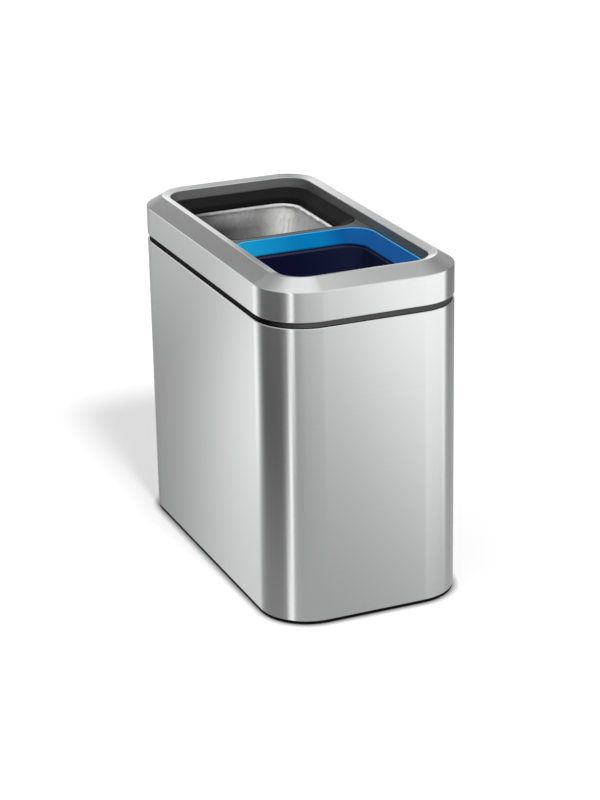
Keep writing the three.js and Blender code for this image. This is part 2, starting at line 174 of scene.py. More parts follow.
def add_bump(tree, shader, value, strength, distance):
    bump = tree.nodes.new("ShaderNodeBump")
    bump.inputs["Strength"].default_value = strength
    bump.inputs["Distance"].default_value = distance
    tree.links.new(value, bump.inputs["Height"])
    tree.links.new(bump.outputs["Normal"], shader.inputs["Normal"])


def new_material(name, colour, roughness, metallic=0.0, specular=0.5):
    material = bpy.data.materials.new(name)
    material.use_nodes = True
    shader = material.node_tree.nodes["Principled BSDF"]
    shader.inputs["Base Color"].default_value = (*colour, 1)
    shader.inputs["Roughness"].default_value = roughness
    shader.inputs["Metallic"].default_value = metallic
    shader.inputs["Specular IOR Level"].default_value = specular
    return material, material.node_tree, shader


def scaled_colour(colour, factor):
    return tuple(value * factor for value in colour)


# %% [markdown]
# ## The studio
# The bin stands on a pale floor in soft, even light. The background is white for the camera and in
# reflections only, through the Light Path node, so it adds no light to the object. Sky and suns together
# come to about one, so a colour renders as it is written.

# %% World and view
SKY_LEVEL = 0.45
SEEN_RAYS = ("Is Camera Ray", "Is Glossy Ray", "Is Transmission Ray")


def light_path_share(tree, outputs):
    """1 for rays of the named kinds and 0 for all others."""
    path = tree.nodes.new("ShaderNodeLightPath")
    share = path.outputs[outputs[0]]
    for name in outputs[1:]:
        share = calculate(tree, "MAXIMUM", share, path.outputs[name])
    return share


def build_world():
    world = bpy.data.worlds.new("white_studio")
    bpy.context.scene.world = world
    world.use_nodes = True
    tree = world.node_tree
    background = tree.nodes["Background"]
    background.inputs["Color"].default_value = (1, 1, 1, 1)
    level = tree.nodes.new("ShaderNodeMix")
    level.inputs["A"].default_value = SKY_LEVEL
    level.inputs["B"].default_value = 1.0
    tree.links.new(light_path_share(tree, SEEN_RAYS), level.inputs["Factor"])
    tree.links.new(level.outputs["Result"], background.inputs["Strength"])


bpy.context.scene.view_settings.view_transform = "Standard"
build_world()
print("sky at", SKY_LEVEL)

# %% [markdown]
# The floor is lit by the sky and the suns, and keeps the bin's shadow. A little glow for the camera
# lifts it to white and sends no light to the bin. A thin dark line runs under the bin's foot. Light
# alone leaves it too soft, so an Ambient Occlusion node darkens the floor close to the foot.

# %% Floor
FLOOR_HALF = 8.0
FLOOR_COLOUR = (0.80, 0.80, 0.80)
FLOOR_GLOW = 0.21
CONTACT_REACH = 0.010  # how far from the foot the floor still counts as close, in metres
CONTACT_SAMPLES = 12
CONTACT_OPENNESS = 0.45  # share of open sky at which the floor is at its darkest
CONTACT_SHADE = 0.36  # the floor's share of its colour there


def build_floor():
    only()
    bpy.ops.mesh.primitive_plane_add(size=2 * FLOOR_HALF, location=(0, 0, 0))
    floor = bpy.context.object
    floor.name = "studio_floor"
    material, tree, shader = new_material("pale_floor", FLOOR_COLOUR, 1.0, specular=0.0)
    closeness = tree.nodes.new("ShaderNodeAmbientOcclusion")
    closeness.samples = CONTACT_SAMPLES
    closeness.inputs["Distance"].default_value = CONTACT_REACH
    contact = spread(tree, closeness.outputs["AO"], CONTACT_SHADE, 1, CONTACT_OPENNESS, 1)
    tree.links.new(mix_colours(tree, contact, (0, 0, 0), FLOOR_COLOUR), shader.inputs["Base Color"])
    glow = calculate(tree, "MULTIPLY", light_path_share(tree, SEEN_RAYS), FLOOR_GLOW)
    tree.links.new(calculate(tree, "MULTIPLY", glow, contact), shader.inputs["Emission Strength"])
    shader.inputs["Emission Color"].default_value = (1, 1, 1, 1)
    floor.data.materials.append(material)
    floor.visible_glossy = False


build_floor()
print("floor to", FLOOR_HALF, "m each way")

# %% [markdown]
# Two suns stand for a studio's window and its fill. The window sun is the smaller one in the sky and
# throws the soft shadow to the rear. The wide one lights the long side. Neither shows in reflections,
# because the steel gets those from the tent of the next step.

# %% Suns
SUN_HEIGHT = 3.0  # a sun shines the same from any place, so this only keeps it out of the way


def soft_sun(name, azimuth, elevation, strength, width):
    """A distant soft lamp, its angles in degrees. The azimuth is where it stands, from +X towards +Y."""
    only()
    bpy.ops.object.light_add(type="SUN", location=(0, 0, SUN_HEIGHT))
    sun = bpy.context.object
    sun.name = name
    sun.data.energy = strength
    sun.data.angle = math.radians(width)
    turn, rise = math.radians(azimuth), math.radians(elevation)
    towards = Vector((math.cos(turn) * math.cos(rise), math.sin(turn) * math.cos(rise), math.sin(rise)))
    sun.rotation_euler = towards.to_track_quat("Z", "Y").to_euler()
    sun.visible_glossy = False
    print(name, "towards", [round(value, 3) for value in towards])


soft_sun("window_sun", azimuth=-89.2, elevation=47, strength=2.15, width=13)
soft_sun("side_sun", azimuth=175, elevation=62, strength=0.7, width=60)

# %% [markdown]
# ## A paper tent for the steel
# Steel has hardly a colour of its own: it shows what stands round it. A photographer hangs a paper tent
# round it, with pale and dark cards, and the corner of the bin draws each card out into an upright
# stripe. Here the tent is a large ball that only reflections see. Its brightness is listed by compass
# direction, in rings from low to high, and blended between the rings.

# %% Cards of the tent
TENT_RADIUS = 1.2
TENT_MIDDLE = 0.2
TENT_CROWN = 1.0  # brightness at the very top
# Each ring has its height as a share of the radius, and (azimuth in degrees from +X, brightness) round
# it. A ring takes 31 pairs at most, because a colour ramp has 32 stops and needs one at its end.
TENT_RINGS = [
    (-0.52, [
        (0, 0.42), (50, 0.50), (57, 1.00), (80, 1.00), (96, 0.30), (112, 0.24), (115.5, 0.32),
        (118.5, 0.62), (121, 0.95), (126, 0.72), (134, 0.42), (142, 0.30), (165, 0.28), (196, 0.30),
        (208, 0.40), (213, 1.20), (219, 1.30), (222, 0.50), (228, 0.44), (286, 0.36), (292, 0.38),
        (297, 0.43), (331, 0.42), (336, 0.42), (340, 0.42), (350, 0.42),
    ]),
    (-0.28, [
        (0, 0.38), (50, 0.45), (57, 1.30), (67, 1.30), (68, 0.90), (80, 0.90), (98, 0.36), (109, 0.34),
        (111, 0.27), (115.5, 0.34), (118.5, 0.72), (122, 1.25), (138, 1.15), (148, 0.46), (158, 0.13),
        (168, 0.05), (204, 0.05), (213, 0.16), (218, 0.24), (220, 1.70), (223.5, 1.70), (225.5, 0.24),
        (234, 0.34), (286, 0.50), (291, 0.68), (297, 0.93), (334, 0.87), (337.5, 1.08), (341, 1.10),
        (346, 0.50), (351, 0.40),
    ]),
    (-0.10, [
        (0, 0.20), (45, 0.25), (57, 1.30), (63, 1.30), (64, 0.60), (66.3, 0.50), (68, 1.20), (80, 1.05),
        (86, 0.45), (112, 0.45), (114.5, 0.72), (117.5, 0.40), (120, 0.85), (124, 1.10), (138, 1.00),
        (148, 0.46), (160, 0.16), (205, 0.14), (216, 0.20), (224, 0.30), (225.5, 1.50), (230, 1.50),
        (233, 0.35), (250, 0.60), (286, 0.74), (292, 1.22), (331, 1.18), (336, 1.20), (341, 1.20),
        (346, 0.50), (351, 0.25),
    ]),
    (0.47, [
        (0, 0.25), (20, 0.35), (50, 0.42), (55, 1.20), (62.5, 1.20), (63.5, 0.10), (66.8, 0.10), (68, 0.80),
        (73.5, 0.85), (75, 1.35), (79, 1.35), (82, 0.90), (86, 0.50), (98, 0.42), (101.5, 0.42),
        (104, 0.26), (106, 0.14), (112, 0.30), (115, 1.10), (119, 1.10), (121, 0.60), (141, 0.60),
        (150, 0.36), (205, 0.36), (218, 0.60), (220, 1.40), (226, 1.40), (229, 0.60), (290, 0.90),
        (342, 0.98), (347, 0.25),
    ]),
    (0.93, [
        (0, 0.33), (20, 0.30), (36, 0.40), (42, 1.10), (56, 1.10), (62, 0.60), (66.5, 0.60), (68, 0.12),
        (76, 0.12), (80, 0.20), (98, 0.12), (106, 0.08), (112, 0.20), (123, 0.36), (137, 0.46), (157, 0.75),
        (200, 1.00), (308, 0.85), (340, 0.50), (346, 0.56), (351, 0.48),
    ]),
]


# %% Tent


def tent_ring(tree, compass, stops):
    ramp = tree.nodes.new("ShaderNodeValToRGB")
    elements = ramp.color_ramp.elements
    elements[0].position, elements[1].position = 0.0, 1.0
    for element in elements:
        element.color = (*[stops[0][1]] * 3, 1)
    for azimuth, brightness in stops[1:]:
        elements.new(azimuth / 360).color = (brightness, brightness, brightness, 1)
    tree.links.new(compass, ramp.inputs["Fac"])
    return ramp.outputs["Color"]


def tent_brightness(tree):
    """Brightness by compass direction and height. Both axes are turned round before the arctangent,
    which runs from -180 to 180 degrees, so that the ramps start and end at +X."""
    place = split_axes(tree, object_place(tree))
    turned_y = calculate(tree, "MULTIPLY", place["Y"], -1)
    turned_x = calculate(tree, "MULTIPLY", place["X"], -1)
    compass = spread(tree, calculate(tree, "ARCTAN2", turned_y, turned_x), 0, 1, -math.pi, math.pi)
    height = calculate(tree, "DIVIDE", place["Z"], TENT_RADIUS)
    below, stops = TENT_RINGS[0]
    brightness = tent_ring(tree, compass, stops)
    for level, stops in TENT_RINGS[1:] + [(1.0, [(0, TENT_CROWN)])]:
        share = spread(tree, height, 0, 1, below, level, interpolation="SMOOTHSTEP")
        brightness = mix_colours(tree, share, brightness, tent_ring(tree, compass, stops))
        below = level
    return brightness


def build_tent():
    only()
    bpy.ops.mesh.primitive_uv_sphere_add(segments=64, ring_count=32, radius=TENT_RADIUS, location=(0, 0, 0))
    tent = bpy.context.object
    tent.name = "paper_tent"
    tent.location.z = TENT_MIDDLE
    material = bpy.data.materials.new("tent_paper")
    material.use_nodes = True
    material.cycles.emission_sampling = "NONE"  # the tent is no lamp
    tree = material.node_tree
    tree.nodes.remove(tree.nodes["Principled BSDF"])
    paper = tree.nodes.new("ShaderNodeEmission")
    tree.links.new(tent_brightness(tree), paper.inputs["Color"])
    tree.links.new(paper.outputs["Emission"], tree.nodes["Material Output"].inputs["Surface"])
    tent.data.materials.append(material)
    tent.visible_camera = False
    tent.visible_diffuse = False
    tent.visible_transmission = False
    tent.visible_shadow = False


build_tent()
print("tent of", len(TENT_RINGS), "rings,", TENT_RADIUS, "m in radius")

# %% [markdown]
# ## Shapes carried round a rounded rectangle
# Nearly every piece of this bin is one cross-section carried round a rounded rectangle. By hand one
# would add a plane, bevel its four corners, delete the face and keep the loop of edges, do the same at
# each level of the section, and bridge each loop to the next. The helpers below do just that. A point
# of a section is (inset, height): how far it lies inside the outline, and how high, in millimetres.

# %% Rounded corners of a section
MM = 0.001


def fillet(points, steps=5):
    """Rounds the corners of a section. A point is (inset, height) or (inset, height, radius)."""
    rounded = []
    for number, point in enumerate(points):
        corner = Vector(point[:2])
        radius = point[2] if len(point) == 3 else 0
        if radius == 0:
            rounded.append(corner)
            continue
        back = (Vector(points[number - 1][:2]) - corner).normalized()
        ahead = (Vector(points[(number + 1) % len(points)][:2]) - corner).normalized()
        half = back.angle(ahead) / 2
        centre = corner + (back + ahead).normalized() * radius / math.sin(half)
        start = corner + back * radius / math.tan(half) - centre
        end = corner + ahead * radius / math.tan(half) - centre
        rounded += [centre + radius * start.slerp(end, step / steps) for step in range(steps + 1)]
    return rounded


# %% Loops
RUNG = 0.5  # metres between loops while they are bridged


def select_loops(piece, numbers):
    """Leaves just the loops with these numbers selected."""
    bpy.ops.mesh.select_all(action="DESELECT")
    mesh = bmesh.from_edit_mesh(piece.data)
    layer = mesh.verts.layers.int["loop_number"]
    for vertex in mesh.verts:
        vertex.select = vertex[layer] in numbers
    mesh.select_flush(True)


def add_loop(piece, number, half_x, half_y, radius, centre_y, height, steps, cuts):
    """Adds one rounded rectangle of edges to the piece that is being edited, and numbers its points.
    Cuts is how many more points each straight side gets."""
    middle = (0, centre_y, height)
    bpy.ops.mesh.select_all(action="DESELECT")
    bpy.ops.mesh.primitive_plane_add(size=2, location=middle)
    bpy.ops.transform.resize(value=(half_x, half_y, 1), center_override=middle)
    bpy.ops.mesh.bevel(offset=radius, segments=steps, affect="VERTICES", clamp_overlap=False)
    if cuts:
        mesh = bmesh.from_edit_mesh(piece.data)
        longest = max(edge.calc_length() for edge in mesh.edges if edge.select)
        sides = [edge for edge in mesh.edges if edge.select and edge.calc_length() > longest / 4]
        bpy.ops.mesh.select_all(action="DESELECT")
        for side in sides:
            side.select_set(True)
        bpy.ops.mesh.subdivide(number_cuts=cuts)
    mesh = bmesh.from_edit_mesh(piece.data)
    layer = mesh.verts.layers.int["loop_number"]
    for vertex in mesh.verts:
        if vertex[layer] == 0:
            vertex[layer] = number
    select_loops(piece, [number])
    bpy.ops.mesh.delete(type="ONLY_FACE")


# %% Lofts


def loft(name, outline, section, closed=True, steps=12, cuts=0):
    """Carries a section round an outline. outline(inset) gives half sizes, corner radius and centre
    in Y, in millimetres. An open section has its two ends filled. The loops are bridged while they
    stand one above the other like rungs, because a bridge between loops in one plane can cross
    itself, and only then does each go to its own height."""
    only()
    bpy.ops.object.add(type="MESH")
    piece = bpy.context.object
    piece.name = name
    bpy.ops.object.mode_set(mode="EDIT")
    bpy.ops.mesh.select_mode(type="VERT")
    bmesh.from_edit_mesh(piece.data).verts.layers.int.new("loop_number")
    for number, (inset, _) in enumerate(section, 1):
        sizes = [value * MM for value in outline(inset)]
        add_loop(piece, number, *sizes, number * RUNG, steps, cuts)
    count = len(section)
    pairs = [(number, number + 1) for number in range(1, count)]
    if closed:
        pairs.append((count, 1))
    for pair in pairs:
        select_loops(piece, pair)
        bpy.ops.mesh.bridge_edge_loops()
    if not closed:
        for end in (1, count):
            select_loops(piece, [end])
            bpy.ops.mesh.edge_face_add()
    mesh = bmesh.from_edit_mesh(piece.data)
    layer = mesh.verts.layers.int["loop_number"]
    for vertex in mesh.verts:
        vertex.co.z = section[vertex[layer] - 1][1] * MM
    bpy.ops.mesh.select_all(action="SELECT")
    bpy.ops.mesh.normals_make_consistent(inside=False)
    bpy.ops.object.mode_set(mode="OBJECT")
    return piece


# %% Shading and finish
SHARP_ANGLE = 38  # degrees from which an edge stays sharp
FILM_SHARP_ANGLE = 60


def smooth(piece, degrees=SHARP_ANGLE):
    """Smooth shading that keeps the flats flat and the sharp edges sharp."""
    only(piece)
    bpy.ops.object.shade_smooth_by_angle(angle=math.radians(degrees))
    bpy.ops.object.modifier_add(type="WEIGHTED_NORMAL")
    piece.modifiers[-1].keep_sharp = True
    bpy.ops.object.modifier_apply(modifier=piece.modifiers[-1].name)


def dress(piece, body, slot, material, *nodes):
    """Gives a finished piece its material, its body and the CAD nodes that it stands for."""
    piece.data.materials.clear()
    piece.data.materials.append(material)
    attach(piece, body)
    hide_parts(*nodes)
    low, high = [Vector(corner) for corner in (piece.bound_box[0], piece.bound_box[6])]
    print(f"{piece.name}: {len(piece.data.polygons)} faces, {(high - low) * 1000} mm")


# %% [markdown]
# ## Sizes
# The outer sizes are read from the solids. What is left are the sizes of folds, walls and gaps. All are
# in millimetres, which suit a bin better than Blender's metres, and MM turns one into the other.

# %% Outlines and levels in millimetres
shell_low, shell_high = (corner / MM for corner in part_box("outer_shell"))
ring_low, ring_high = (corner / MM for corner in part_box("ring_cover"))
HALF_WIDTH, HALF_DEPTH = shell_high.x, shell_high.y
CORNER_RADIUS = 62.0
SHEET = 0.8
HEM = 3.2
HEM_RETURN = 5.8
BEVEL_INSET, BEVEL_RISE = 20.0, 12.4
MOUTH_INSET = 30.5
RIM_DROP = 2.5
RETURN_HEIGHT = 12.2
SEAT_GAP = 0.3  # between pieces that rest on each other
SLIP_GAP = 0.4  # between pieces that slide into each other
sleeve_top, sleeve_bottom = shell_high.z, shell_low.z
ring_bottom, ring_top = ring_low.z, ring_high.z
band_top = ring_top - BEVEL_RISE
rim_edge = ring_top - RIM_DROP
return_bottom = rim_edge - RETURN_HEIGHT
frame_top = return_bottom - SEAT_GAP


def housing(inset):
    return HALF_WIDTH - inset, HALF_DEPTH - inset, CORNER_RADIUS - inset, 0


collar_low, collar_high = (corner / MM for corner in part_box("recycling_collar"))
COLLAR_RADIUS, LIP_RADIUS = 30.6, 27.5
FUNNEL_INSET, FUNNEL_DEPTH = 17.2, 13.6
funnel_foot = frame_top - FUNNEL_DEPTH
collar_half_x = collar_high.x
collar_half_y = (collar_high.y - collar_low.y) / 2
compartment_y = -(collar_high.y + collar_low.y) / 2


def collar_outline(centre_y):
    """A collar's corners tighten more slowly than its sides come in."""

    def outline(inset):
        radius = COLLAR_RADIUS - collar_tightening * inset
        return collar_half_x - inset, collar_half_y - inset, radius, centre_y

    return outline


def bucket_outline(centre_y):
    """A bucket has the same sides, with corners that fit in the collar's skirt and tighten downwards."""

    def outline(inset):
        radius = flange_radius - (inset - FLANGE_INSET) * bucket_tightening
        return collar_half_x - inset, collar_half_y - inset, radius, centre_y

    return outline


COLLAR_WALL = 1.8
BUCKET_RADIUS = 22.5
MOUTH_SET_BACK = 0.5  # of the bucket's wall behind the collar's lip
FLANGE_INSET = COLLAR_WALL + SLIP_GAP
MOUTH_WALL_INSET = FUNNEL_INSET + MOUTH_SET_BACK
bucket_low, bucket_high = (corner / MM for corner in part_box("recycling_bucket"))
bucket_bottom, flange_top = bucket_low.z, bucket_high.z
collar_tightening = (COLLAR_RADIUS - LIP_RADIUS) / FUNNEL_INSET
flange_radius = COLLAR_RADIUS - COLLAR_WALL * collar_tightening - SLIP_GAP
bucket_tightening = (flange_radius - BUCKET_RADIUS) / (MOUTH_WALL_INSET - FLANGE_INSET)
print("levels", sleeve_bottom, sleeve_top, ring_bottom, band_top, ring_top, "compartments", compartment_y)

# %% [markdown]
# ## Brushed steel
# The sheet was brushed round the bin with fine grit before it was folded, and so its highlights are drawn
# out up and down. A picture of scratches could show that. Here the shader's Anisotropic value does it,
# along the tangent of a UV map that follows the sheet, and a noise stretched along the same map moves
# roughness, colour and bump very little. The wall inside the mouth reflects mostly dark plastic, and a
# darker, duller copy of the steel paints that in as shade.

# %% Steel
STEEL = (0.80, 0.803, 0.807)
CROSSWISE = 0.25  # a quarter turn from the tangent, which follows the brushing
SCRATCHES = (30, 2600, 1)  # cells of noise in a metre, round the bin and across the sheet
STREAKS = (5, 260, 1)
SCRATCH_DEPTH = 0.00002


def brushed_steel(name, colour, roughness, anisotropy, metallic=1.0):
    material, tree, shader = new_material(name, colour, roughness, metallic=metallic)
    shader.inputs["Anisotropic"].default_value = anisotropy
    shader.inputs["Anisotropic Rotation"].default_value = CROSSWISE
    wrap = tree.nodes.new("ShaderNodeUVMap")
    wrap.uv_map = "wrap"
    tangent = tree.nodes.new("ShaderNodeTangent")
    tangent.direction_type = "UV_MAP"
    tangent.uv_map = "wrap"
    tree.links.new(tangent.outputs["Tangent"], shader.inputs["Tangent"])
    scratches = grain(tree, wrap.outputs["UV"], SCRATCHES, detail=3)
    streaks = grain(tree, wrap.outputs["UV"], STREAKS, detail=2)
    tree.links.new(spread(tree, scratches, roughness * 0.94, roughness * 1.06), shader.inputs["Roughness"])
    tint = mix_colours(tree, streaks, scaled_colour(colour, 0.985), scaled_colour(colour, 1.012))
    tree.links.new(tint, shader.inputs["Base Color"])
    add_bump(tree, shader, scratches, strength=0.05, distance=SCRATCH_DEPTH)
    return material


steel = brushed_steel("brushed_steel", STEEL, 0.22, 0.86)
# A darker, duller copy of the steel for the wall inside the mouth: painted shade for the dark plastic it
# reflects
steel_in_painted_shade = brushed_steel("steel_painted_shade", scaled_colour(STEEL, 0.26), 0.5, 0.4, metallic=0.5)
print(steel.name, "and", steel_in_painted_shade.name)

# %% [markdown]
# ## Moulded plastics
# The plastics carry the fine grain of a spark-eroded mould. It is far too small for geometry, so it is
# bump, and a slower noise clouds roughness and colour. A colour ramp along X paints light and shade into
# some of them. The blue funnel goes from cyan at its left, a painted reflection, to a deep blue in painted
# shade at its right. The dark band turns near black at its left end, which is painted shade. The blue
# bucket is painted dark navy for the shade deep inside it, lighter towards its right. A step in colour
# between two heights paints a highlight on the rims of the blue collar and the bucket, and shade on the
# black collar's lip.

# %% Plastics
PAINTED_LIGHT_REACH = 0.09  # metres to each side of the middle
GRAIN_SCALE = 1400  # cells of noise in a metre
GRAIN_DEPTH = 0.00006
CLOUD_SCALE = 22
CLOUD_ROUGHNESS = (0.9, 1.12)  # shares of the roughness from one end of the cloud to the other
CLOUD_SHADE = (0.92, 1.08)
EVEN = (1, 1, 1)  # noise that isn't stretched


def painted_light_across_bin(tree, place_x, colours, left=-PAINTED_LIGHT_REACH, right=PAINTED_LIGHT_REACH):
    """Paints light and shade that change across the bin, from the first colour at its left side to the last
    at its right side.
    """
    ramp = tree.nodes.new("ShaderNodeValToRGB")
    elements = ramp.color_ramp.elements
    elements[0].color, elements[1].color = (*colours[0], 1), (*colours[-1], 1)
    for number, colour in enumerate(colours[1:-1], 1):
        elements.new(number / (len(colours) - 1)).color = (*colour, 1)
    tree.links.new(spread(tree, place_x, 0, 1, left, right), ramp.inputs["Fac"])
    return ramp.outputs["Color"]


def moulding(name, colours, roughness, specular, edge=None, reach=(-PAINTED_LIGHT_REACH, PAINTED_LIGHT_REACH)):
    """Moulded plastic of one colour, or of several across the bin that paint light and shade from left to
    right.
    An edge is two heights in millimetres and the colour that it turns to between them and keeps above them;
    the step between the two colours is painted light and shade."""
    material, tree, shader = new_material(name, colours[0], roughness, specular=specular)
    place = object_place(tree)
    axes = split_axes(tree, place)
    skin = grain(tree, place, EVEN, detail=2, noise_scale=GRAIN_SCALE)
    cloud = grain(tree, place, EVEN, detail=3, noise_scale=CLOUD_SCALE)
    clouded = spread(tree, cloud, *(roughness * share for share in CLOUD_ROUGHNESS))
    tree.links.new(clouded, shader.inputs["Roughness"])
    if len(colours) == 1:
        tint = mix_colours(tree, cloud, *(scaled_colour(colours[0], share) for share in CLOUD_SHADE))
    else:
        shade = mix_colours(tree, cloud, (CLOUD_SHADE[0],) * 3, (1.0, 1.0, 1.0))
        tint = mix_colours(tree, 1.0, painted_light_across_bin(tree, axes["X"], colours, *reach), shade, "MULTIPLY")
    # The step by height is painted light and shade
    if edge is not None:
        low, high, painted_light_colour = edge
        tint = mix_colours(tree, spread(tree, axes["Z"], 0, 1, low * MM, high * MM), tint, painted_light_colour)
    tree.links.new(tint, shader.inputs["Base Color"])
    add_bump(tree, shader, skin, strength=0.35, distance=GRAIN_DEPTH)
    print(name, "in", len(colours), "colours")
    return material


# Each call lists the name, the colours from left to right, the roughness and the specular level.
black_plastic = moulding("black_moulding", [(0.009, 0.009, 0.010)], 0.45, 0.12)
# The band darkens to near black towards its left end: painted shade in the recess between sleeve and ring
band_plastic = moulding(
    "black_band_moulding", [(0.002, 0.002, 0.002), (0.07, 0.07, 0.071)], 0.5, 0.03, reach=(-0.118, -0.085),
)
# Blacker than the other black mouldings: partly the tray's own black, partly painted shade under the foot
tray_plastic = moulding("black_tray_moulding", [(0.003, 0.003, 0.003)], 0.6, 0.08)
grey_plastic = moulding("grey_moulding", [(0.09, 0.09, 0.092)], 0.45, 0.2)
# Cyan at the left is a painted reflection, the deep blue at the right wall is painted shade, and the band at
# the top rim is a painted highlight
blue_plastic = moulding(
    "blue_moulding", [
        (0.006, 0.27, 0.50), (0.005, 0.25, 0.48), (0.003, 0.20, 0.44), (0.0, 0.155, 0.38),
        (0.0, 0.155, 0.385), (0.002, 0.078, 0.265), (0.004, 0.088, 0.31),
    ], 0.34, 0.05,
    edge=(frame_top - 0.9, frame_top - 0.3, (0.06, 0.38, 0.62)),
)
# The blue bucket is painted dark navy for the shade deep inside it, lighter towards its right, and the band
# at its rim is a painted highlight on the rounded edge
blue_in_painted_shade = moulding(
    "navy_moulding", [(0.004, 0.005, 0.020), (0.006, 0.008, 0.034), (0.014, 0.021, 0.062)], 0.42, 0.10,
    edge=(flange_top - 2.9, flange_top - 2.3, (0.030, 0.026, 0.060)),
)
# The lip and the foot of the funnel stay near black, painted shade under the funnel; higher up the collar
# turns to the black of the other mouldings
collar_plastic = moulding(
    "black_collar_moulding", [(0.002, 0.002, 0.002)], 0.45, 0.10,
    edge=(funnel_foot + 3.0, funnel_foot + 5.0, (0.009, 0.009, 0.0095)),
)
rubber = moulding("pad_rubber", [(0.018, 0.018, 0.018)], 0.85, 0.3)

# %% [markdown]
# ## Film
# The bag is thin grey film, a little glossy. Real film lets some light through. Over a black bucket that
# hardly shows and takes long to render, so the film is opaque. Light and shade are painted into its grey:
# a painted highlight where it is drawn over the flange, painted light on the right wall, and painted shade
# the deeper it hangs and the further left it lies, partly the film's own tone over the black bucket. Three
# colour ramps along X are blended by height for this. Creases and spots from crumpling come on top, as faint
# painted light and shade.

# %% Film
# Greys from the bin's left side to its right side, where the film is drawn over the flange, just below
# that, and deep in the bucket. They are painted light and shade: a painted highlight on the bead, painted
# light on the right wall, and painted shade deeper down and towards the left.
FILM_HEM = [0.02, 0.10, 0.34, 0.50, 0.50, 0.66, 0.95]
FILM_HIGH = [0.001, 0.006, 0.26, 0.42, 0.34, 0.72, 0.97]
FILM_DEEP = [0.001, 0.002, 0.03, 0.14, 0.26, 0.85, 0.97]
HEM_START, HEM_END = 3.8, 7.0  # millimetres below the flange
DEEP_START = 26.0
CREASES = (70, 70, 16)  # cells of noise in a metre along X, Y and Z
CRINKLE_SCALE, CRINKLE_STRETCH = 330, (1, 1, 0.6)
CRINKLE_DEPTH = 0.0004


def bag_film():
    material, tree, shader = new_material("bag_film", (0.5, 0.5, 0.5), 0.3)
    place = object_place(tree)
    axes = split_axes(tree, place)
    creases = spread(tree, grain(tree, place, CREASES, detail=3), 0, 1)
    crinkles = grain(tree, place, CRINKLE_STRETCH, detail=3, noise_scale=CRINKLE_SCALE)
    spots = spread(tree, crinkles, 0, 1, 0.38, 0.62)
    hem, high, deep = (
        painted_light_across_bin(tree, axes["X"], [(grey, grey, grey * 0.995) for grey in greys])
        for greys in (FILM_HEM, FILM_HIGH, FILM_DEEP)
    )
    rise = spread(tree, axes["Z"], 0, 1, (flange_top - DEEP_START) * MM, (flange_top - HEM_END) * MM)
    tint = mix_colours(tree, rise, deep, high)
    drawn_over = spread(tree, axes["Z"], 0, 1, (flange_top - HEM_END) * MM, (flange_top - HEM_START) * MM)
    tint = mix_colours(tree, drawn_over, tint, hem)
    # Creases and spots add faint painted light and shade of the crumpled film
    for pattern, dark, light in ((creases, 0.95, 1.03), (spots, 0.95, 1.05)):
        shade = mix_colours(tree, pattern, (dark, dark, dark), (light, light, light))
        tint = mix_colours(tree, 1.0, tint, shade, "MULTIPLY")
    tree.links.new(tint, shader.inputs["Base Color"])
    tree.links.new(spread(tree, crinkles, 0.24, 0.38), shader.inputs["Roughness"])
    add_bump(tree, shader, crinkles, strength=0.12, distance=CRINKLE_DEPTH)
    return material


film = bag_film()
print(film.name, "pale above", flange_top - HEM_START, "mm")

# %% [markdown]
# ## Zinc plate
# The six screws under the tray are zinc plated. Their form is already in the solids. The plate is a metal
# that is clouded where the bath left it thicker, and finely scratched by the driver.

# %% Zinc
ZINC_CLOUD_SCALE = 260
ZINC_SCRATCH_SCALE = 3000
ZINC_SCRATCH_DEPTH = 0.00003


def zinc_plate():
    material, tree, shader = new_material("screw_steel", (0.55, 0.56, 0.57), 0.32, metallic=1.0)
    place = object_place(tree)
    cloud = grain(tree, place, EVEN, detail=3, noise_scale=ZINC_CLOUD_SCALE)
    scratches = grain(tree, place, EVEN, detail=2, noise_scale=ZINC_SCRATCH_SCALE)
    tree.links.new(spread(tree, cloud, 0.24, 0.42), shader.inputs["Roughness"])
    tint = mix_colours(tree, cloud, (0.46, 0.47, 0.49), (0.62, 0.62, 0.60))
    tree.links.new(tint, shader.inputs["Base Color"])
    add_bump(tree, shader, scratches, strength=0.2, distance=ZINC_SCRATCH_DEPTH)
    return material


zinc = zinc_plate()
print(zinc.name, "for the screws")

# %% [markdown]
# ## Steel that knows its grain
# Brushing runs round the bin, so the steel needs a map of its own: how far round and how far across the
# sheet each point lies. That is a UV map named "wrap", in metres, as if the sheet were unrolled.

# %% Unroll the steel


def place_round(x, y, half_x, half_y, radius):
    """Distance round the outline, from the middle of the +X side, for a point on any inner outline."""
    straight_x, straight_y = half_x - radius, half_y - radius
    quarter = math.pi / 2 * radius
    if abs(y) <= straight_y + 1e-7:
        if x > 0:
            return y
        return 2 * straight_y + 2 * straight_x + 2 * quarter - y
    sign_y = math.copysign(1, y)
    if abs(x) <= straight_x + 1e-7:
        return sign_y * (straight_y + quarter + straight_x - x)
    turn = math.atan2(abs(y) - straight_y, abs(x) - straight_x)
    if x > 0:
        return sign_y * (straight_y + turn * radius)
    return sign_y * (straight_y + quarter + 2 * straight_x + (math.pi / 2 - turn) * radius)


